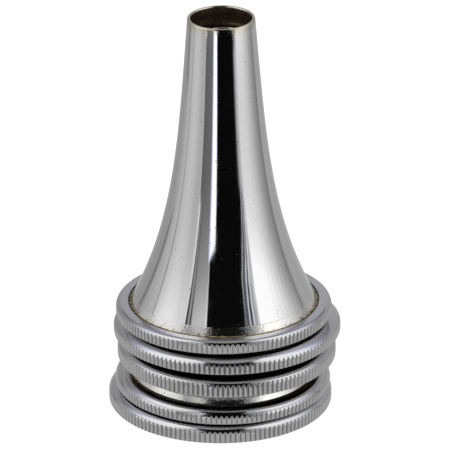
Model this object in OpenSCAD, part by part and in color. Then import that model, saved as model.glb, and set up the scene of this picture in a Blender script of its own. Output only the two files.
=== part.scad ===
// Nest of five ear specula: trumpet funnels of graded bore, each with a knurled grip rim
// soldered round its foot. They stand tips up, and each one is dropped over the next smaller.
// Origin: centre of the bottom rim's flat lower face. +Z points to the tips.

/* [Funnels] */
// Length from a rim's lower face to the tip
funnel_length = 36.65; // [33:0.05:40]
// Wall at the tip, measured across the axis
tip_wall = 0.38; // [0.3:0.01:0.42]
// Wall at the foot, measured across the axis
foot_wall = 0.3; // [0.2:0.01:0.35]
// Outer radius where the trumpet curve meets the foot taper
waist_r = 10.47; // [10.2:0.01:10.7]
// Height of that meeting above the rim's lower face
waist_z = 2.45; // [2.2:0.05:3]
// Share of the flare that curves, the rest being a plain cone
flare_share = 0.594; // [0.5:0.002:0.7]
// Power of the curved share: a higher one keeps the tip slim for longer
flare_power = 3.74; // [3:0.02:4.5]
// Radius that the foot taper gains for each millimetre down
foot_slope = 0.45; // [0.35:0.01:0.5]
// Height of the mouth's edge above the rim's lower face
mouth_recess = 0.15; // [0.05:0.05:0.4]

/* [Rims] */
// Radius of a rim's rounded lower edge
edge_r = 0.28; // [0.15:0.01:0.35]
// Pitch of the straight knurl round a rim
knurl_pitch = 0.6; // [0.5:0.05:1]
// Width of the flat land left along each knurl crest
crest_land = 0.05; // [0.03:0.01:0.1]
// Width of the solder groove between a rim's face and its funnel
groove_w = 0.22; // [0.15:0.01:0.3]
// Depth of that groove
groove_depth = 0.2; // [0.12:0.01:0.3]
// Clearance of the solder film between a funnel's foot and its rim
film_gap = 0.02; // [0.01:0.01:0.04]
// Depth of the seam's crown below the rim's face
seam_sink = 0.06; // [0.03:0.01:0.1]

/* [Top speculum] */
// Bore of the top funnel at its tip
bore_top = 7; // [6.8:0.05:7.2]
// Width of the top rim from the funnel's mouth out to its crests
rim_w_top = 1.085; // [1:0.005:1.3]
// Height of the top rim
rim_h_top = 1.55; // [1.45:0.01:1.65]
// Height at which its shoulder cuts the knurl's crests
crest_h_top = 1.09; // [1:0.01:1.2]
// Angle that its shoulder's curve has already turned there
shoulder_start_top = 10; // [5:1:20]
// Depth of the top rim's knurl grooves
knurl_top = 0.12; // [0.1:0.01:0.25]
// Gap between the top rim and the upper rim
gap_top = 0.4; // [0.3:0.01:0.8]
// Sideways shift of the top foot, as a share of its play round the upper funnel
foot_shift_top = -0.52; // [-0.7:0.01:0.7]
// Sideways shift of its tip, as a share of the play there
tip_shift_top = -0.7; // [-0.8:0.01:0.8]

/* [Upper speculum] */
// Bore of the upper funnel at its tip
bore_upper = 5.7; // [5.6:0.05:5.9]
// Width of the upper rim from the funnel's mouth out to its crests
rim_w_upper = 1.77; // [1.65:0.005:1.9]
// Height of the upper rim
rim_h_upper = 1.87; // [1.8:0.01:1.95]
// Height at which its shoulder cuts the knurl's crests
crest_h_upper = 1.09; // [1:0.01:1.2]
// Angle that its shoulder's curve has already turned there
shoulder_start_upper = 40; // [35:1:45]
// Depth of the upper rim's knurl grooves
knurl_upper = 0.22; // [0.1:0.01:0.25]
// Gap between the upper rim and the middle rim
gap_upper = 1.09; // [0.9:0.01:1.6]
// Sideways shift of the upper foot, as a share of its play round the middle funnel
foot_shift_upper = 0.05; // [-0.7:0.01:0.7]
// Sideways shift of its tip, as a share of the play there
tip_shift_upper = -0.6; // [-0.8:0.01:0.8]

/* [Middle speculum] */
// Bore of the middle funnel at its tip
bore_middle = 4.7; // [4.6:0.05:4.8]
// Width of the middle rim from the funnel's mouth out to its crests
rim_w_middle = 1.3; // [1.2:0.005:1.5]
// Height of the middle rim
rim_h_middle = 2; // [1.9:0.01:2.1]
// Height at which its shoulder cuts the knurl's crests
crest_h_middle = 1.33; // [1.25:0.01:1.4]
// Angle that its shoulder's curve has already turned there
shoulder_start_middle = 17; // [10:1:25]
// Depth of the middle rim's knurl grooves
knurl_middle = 0.2; // [0.1:0.01:0.25]
// Gap between the middle rim and the lower rim
gap_middle = 1.8; // [1.3:0.01:2]
// Sideways shift of the middle foot, as a share of its play round the lower funnel
foot_shift_middle = 0.3; // [-0.7:0.01:0.7]
// Sideways shift of its tip, as a share of the play there
tip_shift_middle = 0.7; // [-0.8:0.01:0.8]

/* [Lower speculum] */
// Bore of the lower funnel at its tip
bore_lower = 3.9; // [3.8:0.05:4]
// Width of the lower rim from the funnel's mouth out to its crests
rim_w_lower = 1.125; // [1.05:0.005:1.3]
// Height of the lower rim
rim_h_lower = 1.75; // [1.65:0.01:1.8]
// Height at which its shoulder cuts the knurl's crests
crest_h_lower = 0.87; // [0.8:0.01:0.95]
// Angle that its shoulder's curve has already turned there
shoulder_start_lower = 13; // [5:1:20]
// Depth of the lower rim's knurl grooves
knurl_lower = 0.12; // [0.1:0.01:0.25]
// Gap between the lower rim and the bottom rim
gap_lower = 0.18; // [0.15:0.01:0.6]
// Sideways shift of the lower foot, as a share of its play round the bottom funnel
foot_shift_lower = 0.44; // [-0.7:0.01:0.7]
// Sideways shift of its tip, as a share of the play there
tip_shift_lower = 0.78; // [-0.8:0.01:0.8]

/* [Bottom speculum] */
// Bore of the bottom funnel at its tip
bore_bottom = 2.4; // [2:0.05:2.6]
// Width of the bottom rim from the funnel's mouth out to its crests
rim_w_bottom = 1.6; // [1.5:0.005:1.75]
// Height of the bottom rim
rim_h_bottom = 1.97; // [1.9:0.01:2.05]
// Height at which its shoulder cuts the knurl's crests
crest_h_bottom = 1.34; // [1.25:0.01:1.45]
// Angle that its shoulder's curve has already turned there
shoulder_start_bottom = 30; // [20:1:35]
// Depth of the bottom rim's knurl grooves
knurl_bottom = 0.13; // [0.1:0.01:0.25]

/* [Hidden] */

// The lists and modules below count the specula from 0 at the top of the nest down
bore = [bore_top, bore_upper, bore_middle, bore_lower, bore_bottom];
rim_w = [rim_w_top, rim_w_upper, rim_w_middle, rim_w_lower, rim_w_bottom];
rim_h = [rim_h_top, rim_h_upper, rim_h_middle, rim_h_lower, rim_h_bottom];
crest_h = [crest_h_top, crest_h_upper, crest_h_middle, crest_h_lower, crest_h_bottom];
shoulder_start = [
    shoulder_start_top, shoulder_start_upper, shoulder_start_middle,
    shoulder_start_lower, shoulder_start_bottom
];
knurl_depth = [knurl_top, knurl_upper, knurl_middle, knurl_lower, knurl_bottom];
gap_below = [gap_top, gap_upper, gap_middle, gap_lower];
foot_shift = [foot_shift_top, foot_shift_upper, foot_shift_middle, foot_shift_lower];
tip_shift = [tip_shift_top, tip_shift_upper, tip_shift_middle, tip_shift_lower];

// Fineness of the trumpet curve, of the rounded lip and of the search for the least play
curve_steps = 24;
lip_steps = 6;
play_steps = 24;
// Spacing of the curve's points: above 1 they crowd towards the foot, where it bends most
crowding = 1.4;
// Round features
$fn = 96;

// The funnel's section
lip_r = tip_wall / 2;
lip_z = funnel_length - lip_r;

function tip_r(k) = bore[k] / 2 + tip_wall;
function foot_r(z) = waist_r + foot_slope * (waist_z - z);
function rim_r(k) = foot_r(0) + rim_w[k];
function shoulder_r(k) = (rim_h[k] - crest_h[k]) / (1 - sin(shoulder_start[k]));
function share_down(z) = (funnel_length - z) / (funnel_length - waist_z);
function flare(w) = (1 - flare_share) * w + flare_share * pow(w, flare_power);
function outer_r(k, z) = z < waist_z
    ? foot_r(z)
    : tip_r(k) + (waist_r - tip_r(k)) * flare(share_down(z));
function wall(z) = foot_wall + (tip_wall - foot_wall) * z / funnel_length;
function inner_r(k, z) = outer_r(k, z) - wall(z);
function curve_z(i) = waist_z + (lip_z - waist_z) * pow(i / curve_steps, crowding);

// The nest: each speculum hangs a rim and a gap above the next, within the play round it
function rise(k) = rim_h[k + 1] + gap_below[k];
function play(k, z) = inner_r(k, z - rise(k)) - outer_r(k + 1, z);
function foot_play(k) = play(k, rise(k) + mouth_recess);
function tip_play(k) = min([
    for (i = [0 : play_steps]) play(k, funnel_length * (1 + i / play_steps) / 2)
]);
function foot_x(k) = foot_shift[k] * foot_play(k);
function tip_x(k) = tip_shift[k] * tip_play(k);
function lean(k) = atan((tip_x(k) - foot_x(k)) / (funnel_length - rise(k)));

// Puts its children in the frame of speculum k, standing on all those below it
module nested(k) {
    if (k >= len(gap_below)) children();
    else nested(k + 1)
        translate([foot_x(k), 0, rise(k)])
            rotate([0, lean(k), 0])
                children();
}

// Spun trumpet funnel: foot taper, flared curve and a rounded lip at the tip
module funnel(k) {
    lip_x = outer_r(k, lip_z) - lip_r;
    outside = [for (i = [0 : curve_steps - 1]) [outer_r(k, curve_z(i)), curve_z(i)]];
    lip = [
        for (i = [0 : lip_steps])
            let (a = 180 * i / lip_steps) [lip_x + lip_r * cos(a), lip_z + lip_r * sin(a)]
    ];
    inside = [for (i = [curve_steps - 1 : -1 : 0]) [inner_r(k, curve_z(i)), curve_z(i)]];
    mouth = [
        [inner_r(k, mouth_recess), mouth_recess],
        [outer_r(k, mouth_recess), mouth_recess]
    ];
    nested(k) rotate_extrude() polygon(concat(outside, lip, inside, mouth));
}

// Section of a rim: tapered bore that seats on the foot, solder groove, rounded shoulder
module rim_section(k) {
    r = rim_r(k);
    h = rim_h[k];
    shoulder_x = r - shoulder_r(k) * cos(shoulder_start[k]);
    groove_z = h - groove_depth;
    difference() {
        intersection() {
            square([r, h]);
            union() {
                square([r, crest_h[k]]);
                square([shoulder_x, h]);
                translate([shoulder_x, h - shoulder_r(k)]) circle(shoulder_r(k));
            }
        }
        polygon([
            [0, -h],
            [foot_r(-h) + film_gap, -h],
            [foot_r(groove_z) + film_gap, groove_z],
            [foot_r(h) + groove_w, h],
            [foot_r(h) + groove_w, 2 * h],
            [0, 2 * h]
        ]);
        translate([r - edge_r, 0]) difference() {
            translate([0, -edge_r]) square([2 * edge_r, 2 * edge_r]);
            translate([0, edge_r]) circle(edge_r);
        }
    }
}

// Outline of the straight knurl: a V-groove for each pitch, and a narrow land between
module knurl_outline(k) {
    teeth = round(2 * PI * rim_r(k) / knurl_pitch);
    turn = 360 / teeth;
    root = rim_r(k) - knurl_depth[k];
    half_pitch = knurl_pitch / 2;
    crest = rim_r(k) + knurl_depth[k] * crest_land / 2 / (half_pitch - crest_land / 2);
    polygon([
        for (i = [0 : teeth - 1], tip = [1, 0])
            let (a = turn * (i + (1 - tip) / 2), r = tip ? crest : root) r * [cos(a), sin(a)]
    ]);
}

// Turned rim with its straight knurl, whose grooves run out on the shoulder
module rim(k) {
    nested(k) intersection() {
        rotate_extrude() rim_section(k);
        translate([0, 0, -rim_h[k]]) linear_extrude(3 * rim_h[k]) knurl_outline(k);
    }
}

// Bead of solder in the groove, lying on the funnel and on the groove's outer wall
module seam(k) {
    h = rim_h[k];
    bed = h - groove_depth;
    crown = h - seam_sink;
    side = film_gap / 2;
    groove_slope = (foot_r(h) + groove_w - foot_r(bed) - film_gap) / groove_depth;
    nested(k) rotate_extrude() polygon([
        [foot_r(bed) + side, bed],
        [foot_r(bed) + film_gap - side / 2, bed],
        [foot_r(bed) + film_gap + groove_slope * (crown - bed) - side, crown],
        [foot_r(h) + side, h]
    ]);
}

module funnel_top() { color("gainsboro") funnel(0); }
module rim_top() { color("silver") rim(0); }
module seam_top() { color("darkgoldenrod") seam(0); }
module funnel_upper() { color("gainsboro") funnel(1); }
module rim_upper() { color("silver") rim(1); }
module seam_upper() { color("darkgoldenrod") seam(1); }
module funnel_middle() { color("gainsboro") funnel(2); }
module rim_middle() { color("silver") rim(2); }
module seam_middle() { color("darkgoldenrod") seam(2); }
module funnel_lower() { color("gainsboro") funnel(3); }
module rim_lower() { color("silver") rim(3); }
module seam_lower() { color("darkgoldenrod") seam(3); }
module funnel_bottom() { color("gainsboro") funnel(4); }
module rim_bottom() { color("silver") rim(4); }
module seam_bottom() { color("darkgoldenrod") seam(4); }

funnel_top();
rim_top();
seam_top();
funnel_upper();
rim_upper();
seam_upper();
funnel_middle();
rim_middle();
seam_middle();
funnel_lower();
rim_lower();
seam_lower();
funnel_bottom();
rim_bottom();
seam_bottom();
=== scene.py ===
"""Looks of a nest of five ear specula: plated trumpet funnels with knurled, soldered rims.

Every piece is built in millimetres in its own speculum's frame, with the rim's lower face at
z = 0 and the tip upwards. It is then set on the seat that the CAD funnel of the same level has.
"""

from __future__ import annotations

import logging
import math
from collections.abc import Callable, Iterable, Sequence
from dataclasses import dataclass
from enum import Enum
from functools import partial

import bmesh
import bpy
import numpy as np
from bpy.types import ID, Camera, Light, Material, Node, NodeSocket, NodeTree, Object, World
from mathutils import Matrix, Vector


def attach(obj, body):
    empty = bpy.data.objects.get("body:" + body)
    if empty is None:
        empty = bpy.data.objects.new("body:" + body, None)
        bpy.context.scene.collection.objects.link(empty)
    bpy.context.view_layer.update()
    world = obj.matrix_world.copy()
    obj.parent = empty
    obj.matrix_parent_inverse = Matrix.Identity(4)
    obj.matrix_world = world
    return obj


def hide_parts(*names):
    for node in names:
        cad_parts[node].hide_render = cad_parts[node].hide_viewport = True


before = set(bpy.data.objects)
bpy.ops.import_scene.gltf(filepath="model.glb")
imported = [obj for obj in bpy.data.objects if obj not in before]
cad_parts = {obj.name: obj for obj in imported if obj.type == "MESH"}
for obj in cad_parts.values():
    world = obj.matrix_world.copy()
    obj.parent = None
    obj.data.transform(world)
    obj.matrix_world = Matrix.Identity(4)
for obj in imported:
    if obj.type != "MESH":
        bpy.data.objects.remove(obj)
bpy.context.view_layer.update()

LOG = logging.getLogger("specula")
PHOTO_PX = 450
MM = 0.001

# Spacing of the turning marks, in mm. Real ones are too fine to show, so these are coarser
MARK_SPACING = 0.16
# Length of lip, in mm, that shows where the middle of a CAD funnel's tip is
LIP_ZONE = 0.8
# Radius of the path that a section is swept along, in mm, and sides of the ring
PATH_R = 10.0
RING_SIDES = 224
# Points of a rim's teeth that lie closer than this, in mm, are joined
WELD = 0.0004
# Width of a studio flat's faces, in degrees, and waves in its stripes across it and up it
FLAT_STEP = 3
FLAT_WAVES = (1.5, 28.0, 1.0)

AddNode = Callable[..., Node]
Point = tuple[float, float]


def linear(hex_colour: str) -> tuple[float, float, float, float]:
    """Turn an sRGB hex colour into linear values.

    Args:
        hex_colour: Six hex digits, such as "D8D6D0".

    Returns:
        Linear red, green and blue, and an alpha of 1.
    """
    parts = [int(hex_colour[i : i + 2], 16) / 255 for i in (0, 2, 4)]
    red, green, blue = (
        c / 12.92 if c <= 0.04045 else ((c + 0.055) / 1.055) ** 2.4 for c in parts
    )
    return red, green, blue, 1.0


def add_node(tree: NodeTree, kind: str, inputs: dict | None = None, **settings: object) -> Node:
    """Add a node with its settings, its values and its links.

    Args:
        tree: The tree that gets the node.
        kind: The node's type name.
        inputs: Input name or number to a value, to the socket that feeds it, or to a node
            whose first output in use feeds it.
        **settings: Properties of the node.

    Returns:
        The new node.
    """
    node = tree.nodes.new(kind)
    for name, value in settings.items():
        setattr(node, name, value)
    for key, value in (inputs or {}).items():
        if isinstance(value, Node):
            value = next(socket for socket in value.outputs if socket.enabled)
        if isinstance(value, NodeSocket):
            tree.links.new(value, node.inputs[key])
        else:
            node.inputs[key].default_value = value
    return node


def cleared(owner: Material | World) -> AddNode:
    """Clear the nodes of a material or of the world.

    Args:
        owner: The material or the world.

    Returns:
        The function that adds nodes to it.
    """
    owner.use_nodes = True
    owner.node_tree.nodes.clear()
    return partial(add_node, owner.node_tree)


def linked(name: str, data: ID) -> Object:
    """Make an object and link it to the scene.

    Args:
        name: The object's name.
        data: Its mesh, camera or light.

    Returns:
        The new object.
    """
    obj = bpy.data.objects.new(name, data)
    bpy.context.scene.collection.objects.link(obj)
    return obj


# Finishes


@dataclass(frozen=True)
class Finish:
    """What the metal finishes share.

    Args:
        name: The material's name.
        plate: Colour of the clean metal.
        roughness: Roughness where it is smooth.
        dull: Roughness where it is dull.
    """

    name: str
    plate: str
    roughness: float
    dull: float

    def start(self) -> tuple[Material, AddNode, NodeSocket]:
        """Make an empty material.

        Returns:
            The material, the function that adds its nodes, and the place on the speculum in mm.
        """
        material = bpy.data.materials.new(self.name)
        node = cleared(material)
        place = node("ShaderNodeAttribute", attribute_name="local_mm").outputs["Vector"]
        return material, node, place

    def turning_marks(
        self, node: AddNode, place: NodeSocket, length: float, detail: float
    ) -> Node:
        """Add the marks that turning leaves round a piece: noise squeezed along its axis.

        Args:
            node: What adds nodes to the tree.
            place: The place on the speculum in mm.
            length: Length of a mark, in mm.
            detail: Octaves of the noise.

        Returns:
            The noise.
        """
        squeeze = node(
            "ShaderNodeVectorMath",
            {0: place, 1: (1 / length, 1 / length, 1 / MARK_SPACING)},
            operation="MULTIPLY",
        )
        return node("ShaderNodeTexNoise", {"Vector": squeeze, "Scale": 1.0, "Detail": detail})

    def end(
        self, node: AddNode, layers: Sequence[tuple[Node, str]],
        rough: Node, marks: Node | None = None,
    ) -> None:
        """End the tree with a metal shader.

        Args:
            node: What adds nodes to the tree.
            layers: How much of each colour shows over the clean metal, and that colour.
            rough: The roughness.
            marks: Height of the marks in mm, or none.
        """
        colour = linear(self.plate)
        for share, over in layers:
            mix = {"Factor": share, "A": colour, "B": linear(over)}
            colour = node("ShaderNodeMix", mix, data_type="RGBA")
        look = {"Metallic": 1.0, "Base Color": colour, "Roughness": rough}
        if marks:
            depth = {"Height": marks, "Distance": MM, "Strength": 1.0}
            look["Normal"] = node("ShaderNodeBump", depth)
        shader = node("ShaderNodeBsdfPrincipled", look)
        node("ShaderNodeOutputMaterial", {"Surface": shader})


@dataclass(frozen=True)
class FunnelPlate(Finish):
    """Bright chrome plate on brass that was spun and buffed.

    To the eye it is a neutral mirror with a few pits. It is satin and flecked in the foot band,
    where the buff could not reach, and warm at the lip, where the plate is rubbed thin. Sizes
    are in mm.

    Args:
        lip: Colour of the rubbed lip.
        band: Colour of the foot band.
        stain: Colour of the pits, and of the specks in the corner above the solder.
        foot_band: Height of the foot band above the rim's lower face.
        seam_z: Height of the solder seam.
        corner_h: Height of the dirt in the corner above the seam.
        fade: Height in which the foot band ends, and the dirt starts.
        lip_z: Height at which the rubbed lip starts.
        lip_full_z: Height from which it is rubbed most.
        lip_share: How much of the lip's colour shows there.
        band_share: How much of the foot band's colour shows.
        stain_share: How much of the stain shows.
        band_dull: How dull the foot band is, from 0 to 1.
        pit_dull: How dull a pit is. Over 1 it is rougher than the dull plate.
        cloud: Width of the clouds that rubbing leaves.
        speck: Width of the specks in the corner.
        pit: Spacing of the pits. Real ones are too fine to show, so these are coarser.
        grit: Width of the pebbling in the foot band.
        grit_depth: Depth of the pebbling.
        mark: Length of the turning marks.
        mark_depth: Depth of the turning marks.
        band_depth: Their depth in the foot band.
    """

    plate: str = "DDDDDD"
    roughness: float = 0.045
    dull: float = 0.2
    lip: str = "C8B696"
    band: str = "ECE9E2"
    stain: str = "4A3A26"
    foot_band: float = 2.45
    seam_z: float = 1.7
    corner_h: float = 0.3
    fade: float = 0.08
    lip_z: float = 35.65
    lip_full_z: float = 36.5
    lip_share: float = 0.6
    band_share: float = 0.6
    stain_share: float = 0.7
    band_dull: float = 0.55
    pit_dull: float = 2.0
    cloud: float = 2.857
    speck: float = 0.4545
    pit: float = 0.9
    grit: float = 0.25
    grit_depth: float = 0.022
    mark: float = 2.857
    mark_depth: float = 0.0011
    band_depth: float = 0.009

    def make(self) -> Material:
        """Build the node material.

        Returns:
            The finished material.
        """
        material, node, place = self.start()
        height = node("ShaderNodeSeparateXYZ", {0: place}).outputs["Z"]

        specks, cloud, grit = (
            node(
                "ShaderNodeTexNoise",
                {"Vector": place, "Scale": 1 / width, "Detail": detail, "Roughness": fineness},
            )
            for width, detail, fineness in (
                (self.speck, 4.0, 0.7), (self.cloud, 3.0, 0.5), (self.grit, 2.0, 0.5)
            )
        )
        cells = node("ShaderNodeTexVoronoi", {"Vector": place, "Scale": 1 / self.pit})
        # The foot band starts at a turned line, and dirt lies in the corner at its bottom. Pits
        # are round, each at the middle of its cell, and lie in the duller clouds only
        band, corner, lip, pits, sparse = (
            node(
                "ShaderNodeMapRange",
                {"Value": value, "From Min": none, "From Max": full, "To Max": most},
            )
            for value, none, full, most in (
                (height, self.foot_band, self.foot_band - self.fade, 1.0),
                (height, self.seam_z + self.corner_h, self.seam_z + self.fade, 1.0),
                (height, self.lip_z, self.lip_full_z, self.lip_share),
                (cells, 0.12, 0.05, 1.0),
                (cloud, 0.44, 0.56, 1.0),
            )
        )
        specks = node("ShaderNodeMath", {0: specks, 1: corner}, operation="MULTIPLY")
        specks = node("ShaderNodeMapRange", {"Value": specks, "From Min": 0.5, "From Max": 0.65})
        pits = node("ShaderNodeMath", {0: pits, 1: sparse}, operation="MULTIPLY")
        tint = node("ShaderNodeMath", {0: band, 1: self.band_share}, operation="MULTIPLY")
        dark = node("ShaderNodeMath", {0: pits, 1: specks}, operation="MAXIMUM")
        dark = node("ShaderNodeMath", {0: dark, 1: self.stain_share}, operation="MULTIPLY")

        rubbed = node(
            "ShaderNodeMapRange",
            {"Value": cloud, "From Min": 0.35, "From Max": 0.7,
             "To Min": self.roughness, "To Max": self.roughness * 2},
        )
        satin = node("ShaderNodeMath", {0: band, 1: self.band_dull}, operation="MULTIPLY")
        satin = node("ShaderNodeMath", {0: lip, 1: satin}, operation="MAXIMUM")
        satin = node(
            "ShaderNodeMath", {0: pits, 1: self.pit_dull, 2: satin}, operation="MULTIPLY_ADD"
        )
        rough = node(
            "ShaderNodeMix", {"Factor": satin, "A": rubbed, "B": self.dull}, clamp_factor=False
        )

        marks = self.turning_marks(node, place, self.mark, 2.0)
        depth = node(
            "ShaderNodeMapRange",
            {"Value": band, "To Min": self.mark_depth, "To Max": self.band_depth},
        )
        marks = node("ShaderNodeMath", {0: marks, 1: depth}, operation="MULTIPLY")
        grit = node("ShaderNodeMath", {0: grit, 1: band}, operation="MULTIPLY")
        marks = node(
            "ShaderNodeMath", {0: grit, 1: self.grit_depth, 2: marks}, operation="MULTIPLY_ADD"
        )
        layers = ((lip, self.lip), (tint, self.band), (dark, self.stain))
        self.end(node, layers, rough, marks)
        return material


@dataclass(frozen=True)
class RimPlate(Finish):
    """Chrome plate on brass that was turned and knurled.

    To the eye it is bright on the shoulder, satin on the knurl and the face, and grey with old
    polish in the grooves. A painted shade darkens the face along the solder groove, and a
    painted highlight lightens the lower edge. Sizes are in mm.

    Args:
        dirt: Colour of the dirt in the knurl's grooves.
        seam_shade: Colour of the painted shade, a dark line, on the face along the solder groove.
        edge_highlight: Colour of the painted highlight, a bright warm line, on the rounded edge
            under the knurl.
        turned: What the turned face and the knurl add to the roughness.
        cloud: Width of the clouds that rubbing leaves.
        grit: Width of the grains of dirt.
        mark: Length of the turning marks.
        mark_depth: Depth of the turning marks.
    """

    plate: str = "CCCCCF"
    roughness: float = 0.06
    dull: float = 0.4
    dirt: str = "77726A"
    seam_shade: str = "24221F"
    edge_highlight: str = "E4DFCC"
    turned: float = 0.05
    cloud: float = 2.0
    grit: float = 0.3333
    mark: float = 2.5
    mark_depth: float = 0.003

    def make(self) -> Material:
        """Build the node material.

        Returns:
            The finished material.
        """
        material, node, place = self.start()
        knurl, edge_highlight, satin = (
            node("ShaderNodeAttribute", attribute_name=name).outputs["Fac"]
            for name in ("knurl", "edge_highlight", "satin")
        )
        grit, cloud = (
            node("ShaderNodeTexNoise", {"Vector": place, "Scale": 1 / width, "Detail": detail})
            for width, detail in ((self.grit, 3.0), (self.cloud, 4.0))
        )
        # The knurl value is 1 deep in a V-groove, and more in the painted shade along the solder
        groove = node("ShaderNodeMapRange", {"Value": knurl, "From Min": 0.35, "From Max": 1.0})
        dirt = node("ShaderNodeMath", {0: groove, 1: grit}, operation="MULTIPLY")
        # Painted shade: a dark line on the face along the solder groove
        seam_shade = node(
            "ShaderNodeMapRange",
            {"Value": knurl, "From Min": 0.8, "From Max": 1.25, "To Max": 0.9},
        )
        rubbed = node(
            "ShaderNodeMapRange",
            {"Value": cloud, "From Min": 0.3, "From Max": 0.7,
             "To Min": self.roughness, "To Max": self.roughness * 2.2},
        )
        rubbed = node(
            "ShaderNodeMath", {0: satin, 1: self.turned, 2: rubbed}, operation="MULTIPLY_ADD"
        )
        rough = node("ShaderNodeMix", {"Factor": dirt, "A": rubbed, "B": self.dull})
        marks = self.turning_marks(node, place, self.mark, 3.0)
        marks = node("ShaderNodeMath", {0: marks, 1: self.mark_depth}, operation="MULTIPLY")
        # The last layer is a painted highlight along the lower edge
        layers = ((dirt, self.dirt), (seam_shade, self.seam_shade), (edge_highlight, self.edge_highlight))
        self.end(node, layers, rough, marks)
        return material


@dataclass(frozen=True)
class BareBrass(Finish):
    """Brass that was never plated, in patches of two colours.

    Args:
        stain: Colour of the duller patches.
        patch: Width of the patches, in mm.
        ragged: Roughness of the noise that cuts the patches' edges.
        clean_at: Noise up to which the metal is clean.
        stained_at: Noise from which it is stained.
        rim_side_shade: Colour of the painted shade along the outside of a groove, next to the
            rim, or none.
        rim_side_shade_at: Shares of the groove's width where that painted shade starts and is
            full.
    """

    stain: str
    patch: float
    ragged: float
    clean_at: float
    stained_at: float
    rim_side_shade: str | None = None
    rim_side_shade_at: tuple[float, float] = (0.3, 0.6)

    def make(self) -> Material:
        """Build the node material.

        Returns:
            The finished material.
        """
        material, node, place = self.start()
        spread = node(
            "ShaderNodeTexNoise",
            {"Vector": place, "Scale": 1 / self.patch, "Detail": 5.0, "Roughness": self.ragged},
        )
        spread = node(
            "ShaderNodeMapRange",
            {"Value": spread, "From Min": self.clean_at, "From Max": self.stained_at},
        )
        layers = [(spread, self.stain)]
        # A painted shade darkens the bead's outer side, next to the rim
        if self.rim_side_shade:
            out = node("ShaderNodeAttribute", attribute_name="outward").outputs["Fac"]
            start, full = self.rim_side_shade_at
            out = node("ShaderNodeMapRange", {"Value": out, "From Min": start, "From Max": full})
            layers.append((out, self.rim_side_shade))
        rough = node("ShaderNodeMix", {"Factor": spread, "A": self.roughness, "B": self.dull})
        self.end(node, layers, rough)
        return material


@dataclass(frozen=True)
class BrownedBrass(BareBrass):
    """Unpolished brass inside a funnel, browned with age: dark, with a soft sheen."""

    plate: str = "AC9C82"
    roughness: float = 0.3
    dull: float = 0.45
    stain: str = "5C4E40"
    patch: float = 1.667
    ragged: float = 0.6
    clean_at: float = 0.35
    stained_at: float = 0.65


@dataclass(frozen=True)
class BrassSolder(BareBrass):
    """Brass-coloured solder left bare in its groove: satin gold, with a painted shade, a dark
    line, along the rim.
    """

    plate: str = "E2C88E"
    roughness: float = 0.3
    dull: float = 0.5
    stain: str = "86693E"
    patch: float = 0.7143
    ragged: float = 0.5
    clean_at: float = 0.45
    stained_at: float = 0.6
    rim_side_shade: str = "26221F"


@dataclass(frozen=True)
class Workshop:
    """The trees and finishes that all five specula share.

    Args:
        revolve: The tree that sweeps a section round the axis.
        repeat: The tree that repeats a rim's tooth.
        funnel_plate: Finish of the funnels' outsides and lips.
        rim_plate: Finish of the rims.
        bore: Finish of the funnels' insides.
        solder: Finish of the seams.
    """

    revolve: NodeTree
    repeat: NodeTree
    funnel_plate: Material
    rim_plate: Material
    bore: Material
    solder: Material


# Shapes


@dataclass(frozen=True)
class Seat:
    """Where a speculum stands: its axis leans in the XZ plane.

    Args:
        origin: Centre of the rim's lower face, in metres, in the row frame.
        lean: Turn about +Y, in radians.
    """

    origin: Vector
    lean: float

    @classmethod
    def of_funnel(cls, node: str, recess: float) -> Seat:
        """Find the seat from the CAD funnel.

        Args:
            node: The CAD funnel's name.
            recess: Height of the funnel's mouth above the rim's lower face, in mm.

        Returns:
            The seat of the whole speculum.
        """
        points = np.array([v.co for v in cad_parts[node].data.vertices])
        low, high = points.min(axis=0), points.max(axis=0)
        lip = points[points[:, 2] > high[2] - LIP_ZONE * MM]
        foot_x = (low[0] + high[0]) / 2
        tip_x = (lip[:, 0].min() + lip[:, 0].max()) / 2
        lean = math.atan2(tip_x - foot_x, high[2] - low[2])
        turned = points @ np.array(Matrix.Rotation(lean, 3, "Y"))
        start = turned.min(axis=0)
        middle = (turned[:, 0].min() + turned[:, 0].max()) / 2
        origin = Matrix.Rotation(lean, 3, "Y") @ Vector((middle, 0.0, start[2] - recess * MM))
        return cls(origin, lean)

    def matrix(self) -> Matrix:
        """Return the matrix from the speculum's millimetres to the row frame's metres."""
        turn = Matrix.Rotation(self.lean, 4, "Y")
        return Matrix.Translation(self.origin) @ turn @ Matrix.Scale(MM, 4)


@dataclass(frozen=True)
class Foot:
    """The taper at a funnel's foot, which a rim's bore follows.

    Args:
        waist_r: Outer radius where the taper meets the trumpet curve, in mm.
        waist_z: Height of that meeting above the rim's lower face, in mm.
        slope: Radius that the taper gains for each millimetre down.
    """

    waist_r: float = 10.47
    waist_z: float = 2.45
    slope: float = 0.45

    def radius(self, z: float) -> float:
        """Return the taper's outer radius at a height."""
        return self.waist_r + self.slope * (self.waist_z - z)


def new_tree(name: str, floats: dict[str, float]) -> NodeTree:
    """Start a geometry tree with named inputs.

    Args:
        name: The tree's name.
        floats: Name and default of each number input. A whole number makes an integer input.

    Returns:
        The tree, with a geometry input and output, its numbers and a material input.
    """
    tree = bpy.data.node_groups.new(name, "GeometryNodeTree")
    face = tree.interface
    face.new_socket("Geometry", in_out="INPUT", socket_type="NodeSocketGeometry")
    for label, value in floats.items():
        kind = "NodeSocketInt" if isinstance(value, int) else "NodeSocketFloat"
        face.new_socket(label, in_out="INPUT", socket_type=kind).default_value = value
    face.new_socket("Material", in_out="INPUT", socket_type="NodeSocketMaterial")
    face.new_socket("Geometry", in_out="OUTPUT", socket_type="NodeSocketGeometry")
    return tree


def finish_tree(node: AddNode, result: Node, material: NodeSocket) -> None:
    """End a geometry tree with Realize Instances and Set Material.

    Args:
        node: What adds nodes to the tree.
        result: The node whose geometry the tree gives.
        material: The tree's material input.
    """
    real = node("GeometryNodeRealizeInstances", {0: result})
    dressed = node("GeometryNodeSetMaterial", {"Geometry": real, "Material": material})
    node("NodeGroupOutput", {0: dressed})


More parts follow.
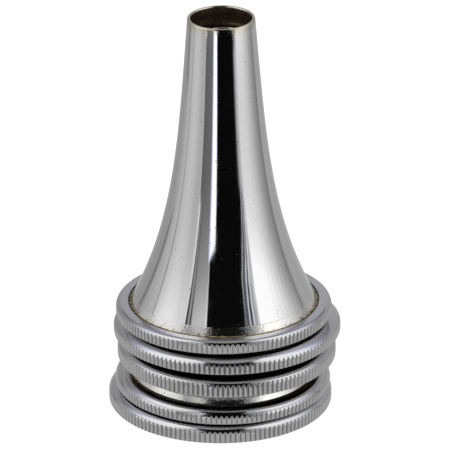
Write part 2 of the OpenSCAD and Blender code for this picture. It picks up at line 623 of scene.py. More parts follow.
def revolving_tree() -> NodeTree:
    """Build the tree that turns a section into a closed ring round the Z axis.

    Returns:
        The tree. Its path is a circle, and the section is swept along it.
    """
    tree = new_tree("revolve_section", {"Path radius": PATH_R, "Segments": RING_SIDES})
    node = partial(add_node, tree)
    given = node("NodeGroupInput").outputs
    path = node(
        "GeometryNodeCurvePrimitiveCircle",
        {"Resolution": given["Segments"], "Radius": given["Path radius"]},
    )
    inward = node("ShaderNodeMath", {0: given["Path radius"], 1: -1.0}, operation="MULTIPLY")
    shift = node("ShaderNodeCombineXYZ", {0: inward})
    section = node("GeometryNodeTransform", {"Geometry": given["Geometry"], "Translation": shift})
    # The sweep lays a section's Y downwards
    flip = node("GeometryNodeTransform", {"Geometry": section, "Scale": (1.0, -1.0, 1.0)})
    outline = node("GeometryNodeMeshToCurve", {"Mesh": flip})
    swept = node("GeometryNodeCurveToMesh", {"Curve": path, "Profile Curve": outline})
    finish_tree(node, swept, given["Material"])
    return tree


def repeating_tree() -> NodeTree:
    """Build the tree that repeats one knurl tooth round the Z axis and joins the ring.

    Returns:
        The tree.
    """
    tree = new_tree("knurl_ring", {"Teeth": 1, "Weld": WELD})
    node = partial(add_node, tree)
    given = node("NodeGroupInput").outputs
    points = node("GeometryNodePoints", {"Count": given["Teeth"]})
    pitch = node("ShaderNodeMath", {0: math.tau, 1: given["Teeth"]}, operation="DIVIDE")
    index = node("GeometryNodeInputIndex")
    turn = node("ShaderNodeMath", {0: index, 1: pitch}, operation="MULTIPLY")
    angles = node("ShaderNodeCombineXYZ", {2: turn})
    copies = node(
        "GeometryNodeInstanceOnPoints",
        {"Points": points, "Instance": given["Geometry"], "Rotation": angles},
    )
    real = node("GeometryNodeRealizeInstances", {0: copies})
    welded = node("GeometryNodeMergeByDistance", {"Geometry": real, "Distance": given["Weld"]})
    finish_tree(node, welded, given["Material"])
    return tree


def grow(
    seed: Object, tree: NodeTree, values: dict[str, object], crease_deg: float
) -> None:
    """Run a geometry tree on an object, keep the result as its plain mesh and smooth it.

    The faces turn outwards, and each point's place in the speculum's own frame is stored in mm
    for the finishes.

    Args:
        seed: The object with the section or the tooth.
        tree: The tree to run.
        values: Input name to its value.
        crease_deg: Faces that meet at more than this angle keep a sharp edge.
    """
    modifier = seed.modifiers.new("shape", "NODES")
    modifier.node_group = tree
    for item in tree.interface.items_tree:
        if item.in_out == "INPUT" and item.name in values:
            modifier[item.identifier] = values[item.name]
    depsgraph = bpy.context.evaluated_depsgraph_get()
    mesh = bpy.data.meshes.new_from_object(seed.evaluated_get(depsgraph), depsgraph=depsgraph)
    seed.modifiers.clear()
    old = seed.data
    seed.data = mesh
    bpy.data.meshes.remove(old)
    mesh.name = seed.name

    work = bmesh.new()
    work.from_mesh(mesh)
    bmesh.ops.remove_doubles(work, verts=work.verts, dist=1e-5)
    bmesh.ops.recalc_face_normals(work, faces=work.faces)
    limit = math.radians(crease_deg)
    for face in work.faces:
        face.smooth = True
    for edge in work.edges:
        edge.smooth = len(edge.link_faces) == 2 and edge.calc_face_angle(0.0) < limit
    work.to_mesh(mesh)
    work.free()

    points = np.empty(len(mesh.vertices) * 3, np.float32)
    mesh.vertices.foreach_get("co", points)
    mesh.attributes.new("local_mm", "FLOAT_VECTOR", "POINT").data.foreach_set("vector", points)


def revolved(
    name: str, section: Sequence[Point], tree: NodeTree, material: Material, crease_deg: float
) -> Object:
    """Sweep a closed section round the Z axis.

    Args:
        name: The object's name.
        section: Radius and height of each point, in mm, in order round the section.
        tree: The revolving tree.
        material: The finish.
        crease_deg: Faces that meet at more than this angle keep a sharp edge.

    Returns:
        The ring, in mm.
    """
    mesh = bpy.data.meshes.new(name)
    count = len(section)
    edges = [(i, (i + 1) % count) for i in range(count)]
    mesh.from_pydata([(r, z, 0.0) for r, z in section], edges, [])
    obj = linked(name, mesh)
    values = {"Path radius": PATH_R, "Segments": RING_SIDES, "Material": material}
    grow(obj, tree, values, crease_deg)
    return obj


@dataclass(frozen=True)
class Funnel:
    """Spun trumpet funnel: foot taper, flared curve and a rounded lip. Sizes in mm.

    Args:
        bore: Bore at the tip.
        foot: The taper at the foot.
        lip_dip: How much lower the lip's front lies than its back, or the back if negative.
        dip_reach: Length below the lip over which the wall follows the dip.
        length: Length from the rim's lower face to the tip.
        tip_wall: Wall at the tip.
        foot_wall: Wall at the foot.
        flare_share: Share of the flare that curves, the rest being a plain cone.
        flare_power: Power of the curved share.
        recess: Height of the mouth's edge above the rim's lower face.
        bevel_h: Height of the bevels at the mouth's edge.
        bevel_w: Width of those bevels.
        steps: Points along the curve.
        crowding: Power that crowds those points towards the foot.
        lip_steps: Points round the lip.
        crease: Angle from which an edge stays sharp, in degrees.
    """

    bore: float
    foot: Foot
    lip_dip: float = 0.0
    dip_reach: float = 3.0
    length: float = 36.65
    tip_wall: float = 0.38
    foot_wall: float = 0.3
    flare_share: float = 0.594
    flare_power: float = 3.74
    recess: float = 0.15
    bevel_h: float = 0.03
    bevel_w: float = 0.04
    steps: int = 56
    crowding: float = 1.3
    lip_steps: int = 10
    crease: float = 25

    def outer(self, z: float) -> float:
        """Find the outer radius.

        Args:
            z: A height above the rim's lower face.

        Returns:
            The radius there.
        """
        if z < self.foot.waist_z:
            return self.foot.radius(z)
        tip_r = self.bore / 2 + self.tip_wall
        down = (self.length - z) / (self.length - self.foot.waist_z)
        flare = (1 - self.flare_share) * down + self.flare_share * down**self.flare_power
        return tip_r + (self.foot.waist_r - tip_r) * flare

    def wall(self, z: float) -> float:
        """Return the wall at a height."""
        return self.foot_wall + (self.tip_wall - self.foot_wall) * z / self.length

    def section(self) -> list[Point]:
        """List the closed section.

        Returns:
            Radius and height of each point: outside up, round the lip, inside down.
        """
        lip_r = self.tip_wall / 2
        lip_z = self.length - lip_r
        lip_x = self.outer(lip_z) - lip_r
        edge, waist = self.recess, self.foot.waist_z
        climb = [
            waist + (lip_z - waist) * (i / self.steps) ** self.crowding
            for i in range(self.steps)
        ]
        heights = [edge + self.bevel_h, (edge + waist) / 2, *climb]
        turns = [math.pi * i / self.lip_steps for i in range(self.lip_steps + 1)]
        return [
            *[(self.outer(z), z) for z in heights],
            *[(lip_x + lip_r * math.cos(a), lip_z + lip_r * math.sin(a)) for a in turns],
            *[(self.outer(z) - self.wall(z), z) for z in reversed(heights)],
            (self.outer(edge) - self.wall(edge) + self.bevel_w, edge),
            (self.outer(edge) - self.bevel_w, edge),
        ]

    def build(self, name: str, shop: Workshop) -> Object:
        """Build the funnel in its own frame.

        Args:
            name: The piece's name.
            shop: The shared trees and finishes.

        Returns:
            The piece, in mm.
        """
        obj = revolved(name, self.section(), shop.revolve, shop.funnel_plate, self.crease)
        mesh = obj.data
        mesh.materials.clear()
        mesh.materials.append(shop.funnel_plate)
        mesh.materials.append(shop.bore)
        lip_z = self.length - self.tip_wall / 2
        for face in mesh.polygons:
            x, y, z = face.center
            inner = math.hypot(x, y) < self.outer(z) - self.wall(z) / 2 and z < lip_z
            face.material_index = int(inner)
        tip_r = self.bore / 2 + self.tip_wall
        for vertex in mesh.vertices:
            near = max(0.0, 1 - (self.length - vertex.co.z) / self.dip_reach)
            drop = abs(self.lip_dip) - self.lip_dip * vertex.co.y / tip_r
            vertex.co.z -= near * drop / 2
        return obj


@dataclass(frozen=True)
class KnurledRim:
    """Turned rim with a rounded shoulder, on which its straight knurl runs out. Sizes in mm.

    Args:
        radius: Radius over the crests.
        height: Height of the rim.
        crest_h: Height at which the shoulder cuts the knurl's crests.
        shoulder_start: Angle that the shoulder has already turned there, in degrees.
        depth: Depth of the V-grooves.
        foot: The taper that the bore follows.
        pitch: Pitch of the knurl.
        land: Width of a crest's land.
        edge: Radius of the rounded lower edge.
        groove_w: Width of the solder groove.
        groove_depth: Depth of the solder groove.
        film: Clearance of the solder film.
        face_in: How far inside the shoulder the flat face's satin starts.
        seam_shade_w: Width of the painted shade on the face, along the solder groove.
        seam_shade_fade: Width in which the painted shade starts.
        bevel_w: Width of the bevel at the groove's edge.
        bevel_h: Height of that bevel.
        seam_shade: Value of the knurl attribute in the painted shade. It is 1 deep in a V-groove.
        edge_highlight_share: How much of the painted highlight shows on the rounded lower edge.
        arc_steps: Faces along the shoulder.
        edge_steps: Faces along the lower edge.
        crease: Angle from which an edge stays sharp, in degrees.
    """

    radius: float
    height: float
    crest_h: float
    shoulder_start: float
    depth: float
    foot: Foot
    pitch: float = 0.6
    land: float = 0.05
    edge: float = 0.28
    groove_w: float = 0.22
    groove_depth: float = 0.2
    film: float = 0.02
    face_in: float = 0.03
    seam_shade_w: float = 0.12
    seam_shade_fade: float = 0.07
    bevel_w: float = 0.01
    bevel_h: float = 0.03
    seam_shade: float = 1.3
    edge_highlight_share: float = 0.7
    arc_steps: int = 8
    edge_steps: int = 3
    crease: float = 22

    def teeth(self) -> int:
        """Return how many whole pitches go round the crests."""
        return round(math.tau * self.radius / self.pitch)

    def column(self, reach: float) -> list[Point]:
        """List the section where the knurl's surface lies at one radius.

        Args:
            reach: Radius of the knurl's surface there.

        Returns:
            Radius and height of each point, from the bore's lower edge outwards and over.
        """
        turned = math.radians(self.shoulder_start)
        shoulder = (self.height - self.crest_h) / (1 - math.sin(turned))
        shoulder_r = self.radius - shoulder * math.cos(turned)
        shoulder_z = self.height - shoulder
        start = math.acos((reach - shoulder_r) / shoulder)
        edge_r = self.radius - self.edge
        end = math.acos((reach - edge_r) / self.edge)
        quarter = math.pi / 2
        lower, upper = (
            [first + (last - first) * i / steps for i in range(steps + 1)]
            for first, last, steps in (
                (quarter, end, self.edge_steps), (start, quarter, self.arc_steps)
            )
        )
        bed_z = self.height - self.groove_depth
        groove_r = self.foot.radius(self.height) + self.groove_w
        return [
            (self.foot.radius(0.0) + self.film, 0.0),
            *[(edge_r + self.edge * math.cos(a), self.edge * (1 - math.sin(a))) for a in lower],
            *[
                (shoulder_r + shoulder * math.cos(a), shoulder_z + shoulder * math.sin(a))
                for a in upper
            ],
            (shoulder_r - self.face_in, self.height),
            (groove_r + self.seam_shade_w + self.seam_shade_fade, self.height),
            (groove_r + self.seam_shade_w, self.height),
            (groove_r - self.bevel_w, self.height - self.bevel_h),
            (self.foot.radius(bed_z) + self.film, bed_z),
        ]

    def tooth(self, name: str) -> Object:
        """Make one pitch of the rim: a V-groove with half a land at each side.

        Args:
            name: The object's name.

        Returns:
            An open strip, closed into a ring when it is repeated.
        """
        half_land = self.land / self.pitch / 2
        shares = [(0.0, 0.0), (half_land, 0.0), (0.25 + half_land / 2, 0.5), (0.5, 1.0)]
        shares += [(1 - at, deep) for at, deep in reversed(shares[:-1])]
        # Rows of a column: the knurl between both roundings, the shoulder, and the painted shade
        # along the solder groove
        knurled = range(self.edge_steps + 1, self.edge_steps + 3)
        bright = range(self.edge_steps + 2, self.edge_steps + self.arc_steps + 3)
        corner = self.edge_steps + self.arc_steps + 5
        points: list[tuple[float, float, float]] = []
        dress: dict[str, list[float]] = {"knurl": [], "satin": [], "edge_highlight": []}
        for at, deep in shares:
            angle = math.tau / self.teeth() * at
            for row, (r, z) in enumerate(self.column(self.radius - self.depth * deep)):
                points.append((r * math.cos(angle), r * math.sin(angle), z))
                knurl = self.seam_shade if row >= corner else deep if row in knurled else 0.0
                dress["knurl"].append(knurl)
                dress["satin"].append(0.0 if row in bright else 1.0)
                # The row on the rounded lower edge carries the painted highlight
                dress["edge_highlight"].append(self.edge_highlight_share if row == self.edge_steps else 0.0)
        rows = len(points) // len(shares)
        faces = [
            (c + i, c + rows + i, c + rows + (i + 1) % rows, c + (i + 1) % rows)
            for c in range(0, len(points) - rows, rows)
            for i in range(rows)
        ]
        mesh = bpy.data.meshes.new(name)
        mesh.from_pydata(points, [], faces)
        for label, values in dress.items():
            mesh.attributes.new(label, "FLOAT", "POINT").data.foreach_set("value", values)
        return linked(name, mesh)

    def build(self, name: str, shop: Workshop) -> Object:
        """Build the rim in its speculum's frame.

        Args:
            name: The piece's name.
            shop: The shared trees and finishes.

        Returns:
            The piece, in mm.
        """
        obj = self.tooth(name)
        values = {"Teeth": self.teeth(), "Weld": WELD, "Material": shop.rim_plate}
        grow(obj, shop.repeat, values, self.crease)
        return obj


@dataclass(frozen=True)
class SolderSeam:
    """Bead of solder in the groove between a rim and its funnel. Sizes in mm.

    Args:
        rim: The rim whose groove it fills.
        sink: Depth of the bead's outer edge below the rim's face.
        side: Clearance to the metal on each side.
        sag: How far the bead's crown is hollow.
        crease: Angle from which an edge stays sharp, in degrees.
    """

    rim: KnurledRim
    sink: float = 0.06
    side: float = 0.01
    sag: float = 0.02
    crease: float = 40

    def section(self) -> list[Point]:
        """List the bead's section.

        Returns:
            Radius and height of each point: flat bed, outer wall, hollow crown, funnel side.
        """
        rim, foot = self.rim, self.rim.foot
        top = rim.height
        bed = top - rim.groove_depth
        wall_r = foot.radius(top) + rim.groove_w
        slope = (wall_r - foot.radius(bed) - rim.film) / rim.groove_depth
        crown = top - self.sink
        outer = foot.radius(bed) + rim.film + slope * (crown - bed) - self.side
        inner = foot.radius(top) + self.side
        return [
            (foot.radius(bed) + self.side, bed),
            (foot.radius(bed) + rim.film - self.side / 2, bed),
            (outer, crown),
            ((outer + inner) / 2, (crown + top) / 2 - self.sag),
            (inner, top),
        ]

    def build(self, name: str, shop: Workshop) -> Object:
        """Build the bead in its speculum's frame.

        Args:
            name: The piece's name.
            shop: The shared trees and finishes.

        Returns:
            The piece, in mm.
        """
        obj = revolved(name, self.section(), shop.revolve, shop.solder, self.crease)
        # Share of the groove's width, from the funnel outwards
        places = (v.co for v in obj.data.vertices)
        shares = [
            (math.hypot(p.x, p.y) - self.rim.foot.radius(p.z)) / self.rim.groove_w for p in places
        ]
        stored = obj.data.attributes.new("outward", "FLOAT", "POINT")
        stored.data.foreach_set("value", shares)
        return obj


@dataclass(frozen=True)
class Speculum:
    """One speculum of the nest.

    Args:
        level: Its place in the nest, which ends the names of its CAD nodes and body.
        funnel: Its funnel.
        rim: Its rim.
    """

    level: str
    funnel: Funnel
    rim: KnurledRim

    def build(self, shop: Workshop) -> list[Object]:
        """Build the three pieces, set them on their seat and put them on their body.

        Args:
            shop: The shared trees and finishes.

        Returns:
            The finished pieces.
        """
        seat = Seat.of_funnel(f"funnel_{self.level}", self.funnel.recess).matrix()
        pieces = []
        seam = SolderSeam(self.rim)
        for piece, name, node, slot in (
            (self.funnel, f"spun_funnel_{self.level}", f"funnel_{self.level}", "plated_funnel"),
            (self.rim, f"knurled_rim_{self.level}", f"rim_{self.level}", "plated_rim"),
            (seam, f"solder_seam_{self.level}", f"seam_{self.level}", "brass_solder"),
        ):
            obj = piece.build(name, shop)
            obj.data.transform(seat)
            obj.data.update()
            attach(obj, f"speculum_{self.level}")
            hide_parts(node)
            pieces.append(obj)
        return pieces


# Studio


class Ray(Enum):
    """Names of the Light Path outputs that the studio uses."""

    CAMERA = "Is Camera Ray"
    GLOSSY = "Is Glossy Ray"


@dataclass(frozen=True)
class Flat:
    """A curved studio flat round the object, which only reflections see.

    Args:
        name: Its name.
        start: Azimuth of its left edge in degrees, 0 towards the camera, + towards +X.
        end: Azimuth of its right edge in degrees.
        low: Height of its lower edge in metres.
        high: Height of its upper edge in metres.
        across: Stops along the azimuth, from 0 to 1, with sRGB hex colours.
        up: Stops along the height, which multiply the colour.
        start_high: Azimuth of its left edge at the top, where that differs.
        end_high: Azimuth of its right edge at the top, where that differs.
        slope: How much higher its upper edge ends than it starts, in metres.
        ripple: How far its stripes waver sideways, as a share of its width.
        radius: Distance from the axis in metres.
        strength: Brightness of a white stop. The plate mirrors about 70 % of it.
    """

    name: str
    start: float
    end: float
    low: float
    high: float
    across: tuple[tuple[float, str], ...]
    up: tuple[tuple[float, str], ...] = ((0.0, "FFFFFF"),)
    start_high: float | None = None
    end_high: float | None = None
    slope: float = 0.0
    ripple: float = 0.0
    radius: float = 0.15
    strength: float = 1.43

    def corner(self, share: float, high: bool) -> tuple[float, float, float]:
        """Find a point on the lower or the upper edge.

        Args:
            share: How much of the width lies left of it.
            high: Whether it is on the upper edge.

        Returns:
            The point, in metres.
        """
        left = self.start if self.start_high is None or not high else self.start_high
        right = self.end if self.end_high is None or not high else self.end_high
        azimuth = math.radians(left + (right - left) * share)
        height = self.high + self.slope * share if high else self.low
        return self.radius * math.sin(azimuth), -self.radius * math.cos(azimuth), height

    def build(self) -> None:
        """Build the flat and its glow."""
        columns = max(2, int(abs(self.end - self.start) / FLAT_STEP))
        points = [
            self.corner(i / columns, high) for i in range(columns + 1) for high in (False, True)
        ]
        faces = [(2 * i, 2 * i + 2, 2 * i + 3, 2 * i + 1) for i in range(columns)]
        mesh = bpy.data.meshes.new(self.name)
        mesh.from_pydata(points, [], faces)
        uv = mesh.uv_layers.new(name="flat")
        for loop in mesh.loops:
            uv.data[loop.index].uv = (loop.vertex_index // 2 / columns, loop.vertex_index % 2)
        mesh.materials.append(self.glow())
        obj = linked(self.name, mesh)
        obj.visible_camera = False
        obj.visible_diffuse = False
        obj.visible_shadow = False
        obj.visible_transmission = False

    def glow(self) -> Material:
        """Make the flat's material, which glows in the colours of its two ramps.

        Returns:
            The finished material.
        """
        material = bpy.data.materials.new(self.name)
        node = cleared(material)
        uv = node("ShaderNodeUVMap", uv_map="flat")
        split = node("ShaderNodeSeparateXYZ", {0: uv}).outputs
        sway = node("ShaderNodeMapping", {"Vector": uv, "Scale": FLAT_WAVES})
        sway = node("ShaderNodeTexNoise", {"Vector": sway, "Scale": 1.0, "Detail": 2.0})
        sway = node("ShaderNodeMath", {0: sway, 1: -0.5}, operation="ADD")
        place = node(
            "ShaderNodeMath", {0: sway, 1: 2 * self.ripple, 2: split["X"]},
            operation="MULTIPLY_ADD",
        )
        ramps = []
        for along, stops in ((place, self.across), (split["Y"], self.up)):
            ramps.append(node("ShaderNodeValToRGB", {0: along}))
            elements = ramps[-1].color_ramp.elements
            elements.remove(elements[1])
            elements[0].position = stops[0][0]
            elements[0].color = linear(stops[0][1])
            for position, colour in stops[1:]:
                elements.new(position).color = linear(colour)
        both = node(
            "ShaderNodeMix", {"Factor": 1.0, "A": ramps[0], "B": ramps[1]},
            data_type="RGBA", blend_type="MULTIPLY",
        )
        glow = node("ShaderNodeEmission", {"Color": both, "Strength": self.strength})
        node("ShaderNodeOutputMaterial", {"Surface": glow})
        return material


@dataclass(frozen=True)
class Studio:
    """Pale floor, soft light, flats that the metal mirrors, and the camera.

    Args:
        camera_at: The camera's place in metres.
        look_at: The point that it looks at, in metres.
        focal_px: Focal length in pixels of the photograph's frame.
        aim_px: Where the photograph shows that point, in its own pixels.
        sensor_w: Width of the camera's sensor in mm.
        nearest: Nearest distance that the camera shows, in metres.
        floor_half: Half the floor's side in metres.
        floor_matt: The floor's colour in the light that it throws back on the metal.
        floor_shade: The share of the floor's colour that takes shadows.
        floor_white: The share of the floor's colour that doesn't.
        table: Colour of the table that the metal mirrors.
        table_r: Radius of that table in metres.
        table_fade: Width in which the table ends, in metres.
        white: Colour of the world to the camera, and of the fill light.
        fill: Strength of the fill light.
        grey: Colour of the world that the metal mirrors.
        lamp_side: Side of each soft box in metres.
    """

    camera_at: tuple[float, float, float] = (-0.00006, -0.4, 0.18875)
    look_at: tuple[float, float, float] = (-0.00006, 0.0, 0.02205)
    focal_px: float = 3721.0
    aim_px: tuple[float, float] = (219.75, 224.05)
    sensor_w: float = 36.0
    nearest: float = 0.01
    floor_half: float = 3.0
    floor_matt: str = "F2F2F2"
    floor_shade: str = "8C8C8C"
    floor_white: str = "F0F0F0"
    table: str = "C5C5C3"
    table_r: float = 0.06
    table_fade: float = 0.01
    white: str = "FFFFFF"
    fill: float = 0.75
    grey: str = "A8A8A8"
    lamp_side: float = 0.5

    def aimed(self, name: str, data: Camera | Light, place: Sequence[float]) -> Object:
        """Place a camera or a lamp, turned to the point that the camera looks at.

        Args:
            name: Its name.
            data: The camera or the light.
            place: Its place in metres.

        Returns:
            The new object.
        """
        obj = linked(name, data)
        obj.location = place
        away = Vector(self.look_at) - Vector(place)
        obj.rotation_euler = away.to_track_quat("-Z", "Y").to_euler()
        return obj

    def camera(self) -> None:
        """Add the camera at the photograph's viewing angle."""
        data = bpy.data.cameras.new("camera")
        data.sensor_width = self.sensor_w
        data.lens = data.sensor_width * self.focal_px / PHOTO_PX
        data.shift_x = (PHOTO_PX / 2 - self.aim_px[0]) / PHOTO_PX
        data.shift_y = (self.aim_px[1] - PHOTO_PX / 2) / PHOTO_PX
        data.clip_start = self.nearest
        bpy.context.scene.camera = self.aimed("camera", data, self.camera_at)

    def by_ray(self, node: AddNode, other: Node, camera: Node, glossy: Node) -> Node:
        """Choose a shader by the kind of ray that meets it.

        Args:
            node: What adds nodes to the tree.
            other: The shader for rays of other kinds.
            camera: The shader that the camera sees.
            glossy: The shader that the metal mirrors.

        Returns:
            The chosen shader.
        """
        path = node("ShaderNodeLightPath").outputs
        lit = node("ShaderNodeMixShader", {0: path[Ray.CAMERA.value], 1: other, 2: camera})
        return node("ShaderNodeMixShader", {0: path[Ray.GLOSSY.value], 1: lit, 2: glossy})

    def floor(self) -> None:
        """Add the pale floor, white to the camera and table grey to the mirror metal."""
        half = self.floor_half
        mesh = bpy.data.meshes.new("floor")
        corners = [(-half, -half, 0), (half, -half, 0), (half, half, 0), (-half, half, 0)]
        mesh.from_pydata(corners, [], [(0, 1, 2, 3)])
        material = bpy.data.materials.new("pale_floor")
        node = cleared(material)
        matt = node("ShaderNodeBsdfDiffuse", {"Color": linear(self.floor_matt)})
        shade = node("ShaderNodeBsdfDiffuse", {"Color": linear(self.floor_shade)})
        white = node("ShaderNodeEmission", {"Color": linear(self.floor_white), "Strength": 1.0})
        seen = node("ShaderNodeAddShader", {0: shade, 1: white})
        # The metal mirrors a small grey table, and the flats beyond its edge
        place = node("ShaderNodeTexCoord").outputs["Object"]
        reach = node("ShaderNodeVectorMath", {0: place}, operation="LENGTH")
        edge = {"From Min": self.table_r - self.table_fade, "From Max": self.table_r}
        beyond = node("ShaderNodeMapRange", {"Value": reach, **edge})
        table = node("ShaderNodeEmission", {"Color": linear(self.table), "Strength": 1.0})
        clear = node("ShaderNodeBsdfTransparent")
        mirrored = node("ShaderNodeMixShader", {0: beyond, 1: table, 2: clear})
        shown = self.by_ray(node, matt, seen, mirrored)
        node("ShaderNodeOutputMaterial", {"Surface": shown})
        mesh.materials.append(material)
        obj = linked("floor", mesh)

    def world(self) -> None:
        """Set the world: white to the camera, studio grey to the metal, soft fill elsewhere."""
        world = bpy.data.worlds.new("studio")
        bpy.context.scene.world = world
        node = cleared(world)
        fill, white, grey = (
            node("ShaderNodeBackground", {"Color": linear(colour), "Strength": strength})
            for colour, strength in ((self.white, self.fill), (self.white, 1.0), (self.grey, 1.0))
        )
        node("ShaderNodeOutputWorld", {"Surface": self.by_ray(node, fill, white, grey)})

    def lamps(self) -> None:
        """Add two soft boxes, which the flats stand for in the metal."""
        for name, place, watts in (
            ("key", (-0.5, -0.45, 0.7), 2.2),
            ("fill", (0.6, -0.2, 0.6), 1.2),
        ):
            data = bpy.data.lights.new(name, "AREA")
            data.shape = "RECTANGLE"
            data.size = data.size_y = self.lamp_side
            data.energy = watts
            self.aimed(name, data, place).visible_glossy = False

    def flats(self) -> None:
        """Add the flats, laid out by what the funnel in the photograph mirrors."""
        for flat in (
            Flat("flat_left_back", -180, -98, -0.1, 0.5,
                 ((0.0, "A2A3A6"), (0.3, "909090"), (0.6, "8C8C8C"), (0.76, "9A9A9A"),
                  (0.9, "A8A8A8"), (1.0, "B0B0B0"))),
            Flat("flat_left_line", -126, -112, -0.002, 0.03,
                 ((0.0, "8D8D8D"), (0.35, "717171"), (0.55, "6E6E6E"), (1.0, "9C9C9C")),
                 start_high=-138, end_high=-124, radius=0.148),
            Flat("flat_left", -98, -48, -0.1, 0.5,
                 ((0.0, "808080"), (0.015, "888888"), (0.04, "D8D8D8"), (0.09, "E4E4E4"),
                  (0.35, "F0F0F0"), (0.6, "E6E6E6"), (0.74, "D6D6D6"), (0.93, "D0D0D0"),
                  (0.97, "E4E4E4"), (1.0, "8A8A8A")),
                 ((0.0, "C5C5C5"), (0.19, "C7C7C7"), (0.227, "D8D8D8"), (0.265, "F2F2F2"),
                  (0.3, "FFFFFF")), ripple=0.012),
            Flat("flat_left_edge", -50, -46.2, 0.018, 0.1,
                 ((0.0, "C6C6C6"), (0.5, "CACACA"), (0.75, "E2E2E2"), (1.0, "C0C0C0")),
                 start_high=-53, end_high=-51, radius=0.149),
            Flat("flat_left_pole", -46.2, -42, 0.018, 0.13,
                 ((0.0, "303030"), (0.22, "363636"), (0.36, "929292"), (0.6, "8C8C8C"),
                  (0.72, "3C3C3C"), (1.0, "484848")), start_high=-53, end_high=-41.8,
                 radius=0.149, ripple=0.1),
            Flat("flat_left_gap", -48, -22, -0.1, 0.5,
                 ((0.0, "A0A0A0"), (0.15, "ACACAC"), (0.6, "B6B6B6"), (0.92, "B8B8B8"),
                  (0.96, "E2E2E2"), (1.0, "D4D4D4")),
                 ((0.0, "888888"), (0.19, "8C8C8C"), (0.21, "A0A0A0"), (0.252, "C6C6C6"),
                  (0.3, "FFFFFF")), ripple=0.015),
            Flat("flat_black", -24, 42, -0.1, 0.55, ((0.0, "080808"),), radius=0.152),
            Flat("flat_right_gap_low", 33, 47, -0.1, 0.018,
                 ((0.0, "101014"), (0.12, "2E2E34"), (0.3, "6E6E72"), (0.45, "9E9EA0"),
                  (0.8, "B4B4B4"), (1.0, "CACACA")), ripple=0.08),
            Flat("flat_right_gap_step", 39, 47, 0.018, 0.055,
                 ((0.0, "C8C8CE"), (0.08, "585A60"), (0.25, "3A3C44"), (0.34, "DCDEE4"),
                  (0.42, "34363C"), (0.52, "484A50"), (0.6, "E4E6EA"), (0.68, "A0A1A4"),
                  (0.85, "B8B8BA"), (1.0, "E4E4E4")), start_high=28, ripple=0.14),
            Flat("flat_right_gap", 28, 47, 0.055, 0.5,
                 ((0.0, "C0C0C6"), (0.06, "585A60"), (0.25, "404248"), (0.33, "DCDEE4"),
                  (0.4, "34363C"), (0.5, "282A30"), (0.57, "E4E6EA"), (0.64, "909194"),
                  (0.85, "B0B0B2"), (1.0, "E8E8E8")), ripple=0.1),
            Flat("flat_right", 47, 116, -0.1, 0.5,
                 ((0.0, "F9F9F9"), (0.3, "F6F6F6"), (0.38, "E8E8E8"), (0.4, "F0F0F0"),
                  (0.48, "DADADA"), (0.5, "E2E2E2"), (0.58, "CCCCCC"), (0.6, "D2D2D2"),
                  (0.68, "BABABA"), (0.7, "C0C0C0"), (0.78, "AAAAAA"), (0.8, "B0B0B0"),
                  (0.93, "999999"), (0.97, "8A8A8C"), (1.0, "909092")),
                 ((0.0, "CECECE"), (0.175, "CECECE"), (0.205, "E0E0E0"), (0.24, "FFFFFF"))),
            Flat("flat_right_back", 116, 180, -0.1, 0.5,
                 ((0.0, "909092"), (0.12, "9C9C9C"), (0.3, "969696"), (1.0, "A2A3A6"))),
            Flat("soft_box_left", -165, -38, 0.08, 0.5,
                 ((0.0, "8C8C8E"), (0.2, "8E8E94"), (0.32, "A4A4B4"), (0.41, "D0D2E0"),
                  (0.5, "F6F6F8"), (0.8, "F0F0EC"), (0.93, "C8C8C8"), (1.0, "8C8C8C")),
                 ((0.0, "C8C8C8"), (0.15, "FFFFFF")), radius=0.14),
            Flat("soft_box_right", 42, 160, 0.08, 0.5,
                 ((0.0, "8C8C8C"), (0.08, "C8C8C8"), (0.2, "F0F0EC"), (0.5, "F6F6F8"),
                  (0.6, "D0D2E0"), (0.7, "A4A4B4"), (0.82, "8E8E94"), (1.0, "8C8C8E")),
                 ((0.0, "C8C8C8"), (0.15, "FFFFFF")), radius=0.14),
            Flat("flat_black_top", -30, 34, 0.2, 0.52, ((0.0, "060608"),),
                 start_high=-58, end_high=62, radius=0.138),
            Flat("window", -26, -10, -0.1, 0.046,
                 ((0.0, "50505E"), (0.1, "9C9CB8"), (0.28, "E8EAF6"), (0.5, "F8F9FF"),
                  (0.9, "ECEDF4"), (1.0, "8C8C94")), end_high=-13, slope=-0.007,
                 radius=0.145, strength=1.6, ripple=0.04),
        ):
            flat.build()

    def build(self) -> None:
        """Build the whole studio."""
        bpy.context.scene.view_settings.view_transform = "Standard"
        self.floor()
        self.world()
        self.lamps()
        self.flats()
        self.camera()


def nest() -> Iterable[Speculum]:
    """List the specula of the nest, from the top down.

    Radii, heights and bores are the CAD model's. The crests end a little lower and the grooves
    are a little deeper, to meet the photograph's light.

    Yields:
        Each speculum.
    """
    foot = Foot()
    mouth_r = foot.radius(0.0)
    # Bore, how far the rim stands out from the mouth, rim height, crest height, shoulder start,
    # depth of the knurl, and dip of the lip, which the photograph shows on the upper two
    for level, bore, rim_w, height, crest_h, start, depth, dip in (
        ("top", 7.0, 1.085, 1.55, 1.02, 10, 0.14, 0.27),
        ("upper", 5.7, 1.77, 1.87, 1.01, 37, 0.25, -0.14),
        ("middle", 4.7, 1.3, 2.0, 1.26, 17, 0.23, 0.0),
        ("lower", 3.9, 1.125, 1.75, 0.79, 13, 0.16, 0.0),
        ("bottom", 2.4, 1.6, 1.97, 1.26, 28, 0.17, 0.0),
    ):
        rim = KnurledRim(mouth_r + rim_w, height, crest_h, start, depth, foot)
        yield Speculum(level, Funnel(bore, foot, dip), rim)


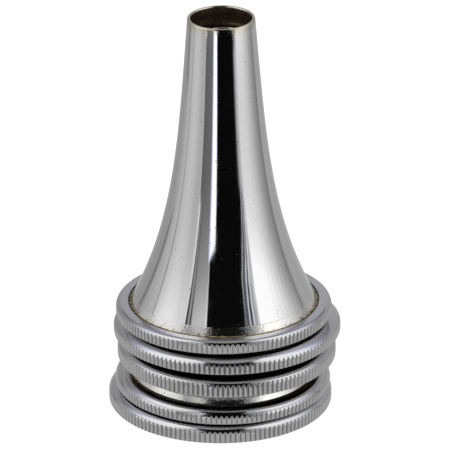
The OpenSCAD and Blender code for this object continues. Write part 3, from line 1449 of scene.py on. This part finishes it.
def main() -> None:
    """Build the specula and the studio."""
    logging.basicConfig(level=logging.INFO, format="%(name)s: %(message)s")
    Studio().build()
    shop = Workshop(
        revolve=revolving_tree(),
        repeat=repeating_tree(),
        funnel_plate=FunnelPlate("polished_chrome_on_spun_brass").make(),
        rim_plate=RimPlate("chrome_on_knurled_brass").make(),
        bore=BrownedBrass("browned_brass_bore").make(),
        solder=BrassSolder("brass_solder").make(),
    )
    for speculum in nest():
        for piece in speculum.build(shop):
            LOG.info("%s: %d faces", piece.name, len(piece.data.polygons))


if __name__ == "__main__":
    main()
